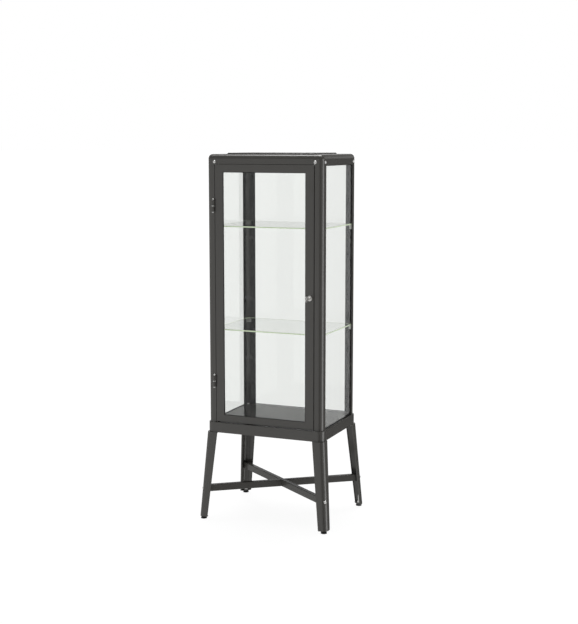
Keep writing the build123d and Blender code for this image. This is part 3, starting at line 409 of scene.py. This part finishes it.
def levelling_stud(place):
    """Threaded stud of a levelling foot; the thread runs out over a turn at each end."""
    node = "foot_stud_" + place
    x, y, radius, foot, top = node_places(node)
    length = top - foot

    def thread(angle, z):
        turns = (z - foot) / THREAD_PITCH - angle / (2 * pi)
        groove = abs(2 * (turns % 1.0) - 1)
        run_out = min(1.0, (z - foot) / THREAD_PITCH, (top - z) / THREAD_PITCH)
        return THREAD_DEPTH * groove * run_out

    rows = int(length / THREAD_PITCH * THREAD_ROWS)
    profile = [(radius, foot + length * row / rows) for row in range(rows - THREAD_ROWS // 2)]
    profile.append((radius - STUD_POINT, top))
    maker = bmesh.new()
    turned(maker, x, y, profile, 24, thread)
    finished(maker, node + "_threaded", "foot_" + place, node, "zinc")


def levelling_pad(place):
    """Moulded pad of a levelling foot, with grips round it and a raised boss."""
    node = "foot_pad_" + place
    x, y, radius, foot, top = node_places(node)
    side = radius - PAD_FOOT_R
    rim = foot + PAD_RIM_H
    flat = top - PAD_BOSS_H
    profile = [(radius - 4 * PAD_FOOT_R, foot)]
    profile += arc(side, foot + PAD_FOOT_R, PAD_FOOT_R, -90, 0, 4)
    profile += [(radius, rim), (side, rim + PAD_FOOT_R)]
    profile += arc(side - PAD_SHOULDER, flat - PAD_SHOULDER, PAD_SHOULDER, 0, 90)
    profile += [(PAD_BOSS_R + 2 * PAD_BOSS_EDGE, flat), (PAD_BOSS_R, flat + PAD_BOSS_EDGE)]
    profile += [(PAD_BOSS_R, top - PAD_BOSS_EDGE), (PAD_BOSS_R - PAD_BOSS_EDGE, top)]
    profile.append((PAD_BOSS_R / 2, top))

    def grips(angle, z):
        gripped = rim < z < flat - PAD_BOSS_EDGE
        return PAD_GRIP_DEPTH * (0.5 - 0.5 * cos(PAD_GRIPS * angle)) if gripped else 0.0

    maker = bmesh.new()
    turned(maker, x, y, profile, PAD_GRIPS * 6, grips)
    finished(maker, node + "_moulded", "foot_" + place, node, "foot_plastic")


def hinge_pin(level):
    """Turned hinge pin with a domed foot, a collar and a ball-and-point finial."""
    node = "hinge_pin_" + level
    x, y, radius, foot, top = node_places(node)
    foot_top = foot + PIN_FOOT_H
    collar = top - PIN_CAP_H
    collar_top = collar + PIN_COLLAR_H
    ball = collar_top + PIN_EDGE + PIN_BALL
    waist = PIN_R - PIN_EDGE
    profile = [(PIN_EDGE, foot)]
    profile += arc(radius - PIN_DOME, foot + PIN_DOME, PIN_DOME, -80, 0)
    profile += [(radius, foot_top - PIN_EDGE), (radius - PIN_EDGE, foot_top)]
    profile += [(PIN_R, foot_top), (PIN_R, collar)]
    profile += [(radius - PIN_EDGE, collar), (radius, collar + PIN_EDGE)]
    profile += [(radius, collar_top - PIN_EDGE), (radius - PIN_EDGE, collar_top)]
    profile.append((waist, collar_top + PIN_EDGE / 2))
    profile += arc(PIN_R - PIN_BALL, ball, PIN_BALL, -50, 60)
    profile += [(PIN_BALL - PIN_EDGE, top - PIN_EDGE), (PIN_EDGE, top)]
    maker = bmesh.new()
    turned(maker, x, y, profile, 36)
    finished(maker, node + "_turned", "cabinet", node, "bright_steel")


# ---- studio ----

def azimuth_ramp(tree, place, stops):
    """Grey radiance by azimuth, from a list of (degrees, radiance)."""
    ramp = add(tree, "ValToRGB", {"Fac": place})
    elements = ramp.color_ramp.elements
    while len(elements) > 1:
        elements.remove(elements[-1])
    for index, (angle, value) in enumerate(stops):
        where = (angle + 180) / 360
        stop = elements[0] if index == 0 else elements.new(where)
        stop.position = where
        stop.color = rgba([value / STUDIO_PEAK] * 3)
    return ramp.outputs[0]


def make_studio():
    """Soft light all round; what is looked at directly is a plain white backdrop."""
    world = bpy.data.worlds.new("studio")
    world.use_nodes = True
    tree = world.node_tree
    background = tree.nodes["Background"]
    direction = add(tree, "TexCoord").outputs["Generated"]
    parts = add(tree, "SeparateXYZ", {0: direction}).outputs
    backwards = maths(tree, "MULTIPLY", parts[1], -1.0)
    angle = maths(tree, "ARCTAN2", parts[0], backwards)
    around = spread(tree, angle, -pi, pi, 0, 1)
    low = azimuth_ramp(tree, around, STUDIO_LOW)
    high = azimuth_ramp(tree, around, STUDIO_HIGH)
    rise = spread(tree, parts[2], *STUDIO_RISE, 0, 1, True)
    room = mixed(tree, rise, low, high)
    middle = spread(tree, parts[2], *STUDIO_MIDDLE, 0, 1, True)
    room = mixed(tree, middle, room, rgba([STUDIO_MID / STUDIO_PEAK] * 3))
    lean = radians(STUDIO_TOP_LEAN)
    turn = radians(CAMERA_TURN)
    axis = (-sin(turn) * sin(lean), cos(turn) * sin(lean), cos(lean))
    facing = add(tree, "VectorMath", {0: direction, 1: axis}, operation="DOT_PRODUCT")
    top = spread(tree, facing.outputs["Value"], *STUDIO_TOP_EDGE, 0, 1, True)
    room = mixed(tree, top, room, rgba([STUDIO_TOP / STUDIO_PEAK] * 3))
    under = spread(tree, parts[2], *STUDIO_BELOW, 0, 1, True)
    room = mixed(tree, under, room, rgba([STUDIO_UNDER / STUDIO_PEAK] * 3))
    path = add(tree, "LightPath").outputs
    straight = maths(tree, "MAXIMUM", path["Is Camera Ray"], path["Is Transmission Ray"])
    bounced = maths(tree, "ADD", path["Diffuse Depth"], path["Glossy Depth"], clamp=True)
    seen = maths(tree, "MULTIPLY", straight, maths(tree, "SUBTRACT", 1.0, bounced))
    white = rgba([STUDIO_WHITE / STUDIO_PEAK] * 3)
    tree.links.new(mixed(tree, seen, room, white), background.inputs["Color"])
    background.inputs["Strength"].default_value = STUDIO_PEAK
    bpy.context.scene.world = world


def make_floor():
    """Plain white floor."""
    bpy.ops.mesh.primitive_plane_add(size=FLOOR_SIZE)
    floor = bpy.context.object
    floor.name = "studio_floor"
    material, tree, shader = new_material("studio_floor", Roughness=0.9, Emission_Strength=FLOOR_GLOW)
    shader.inputs["Base Color"].default_value = (0.05, 0.05, 0.05, 1)
    shader.inputs["Emission Color"].default_value = (1, 1, 1, 1)
    floor.data.materials.append(material)
    floor.visible_glossy = False


def make_camera():
    """Camera in front of the case's right side, looking slightly down."""
    data = bpy.data.cameras.new("camera")
    data.lens = CAMERA_LENS
    data.sensor_width = CAMERA_SENSOR
    camera = bpy.data.objects.new("camera", data)
    camera.location = CAMERA_PLACE
    camera.rotation_euler = (radians(90 - CAMERA_PITCH), 0, radians(CAMERA_TURN))
    bpy.context.scene.collection.objects.link(camera)
    bpy.context.scene.camera = camera


make_camera()
make_studio()
make_floor()
dress_cad_nodes()
for level in ("upper", "lower"):
    glass_shelf(level)
    hinge_pin(level)
for place in ("front_left", "front_right", "back_left", "back_right"):
    levelling_stud(place)
    levelling_pad(place)
bpy.context.scene.view_settings.view_transform = "Standard"
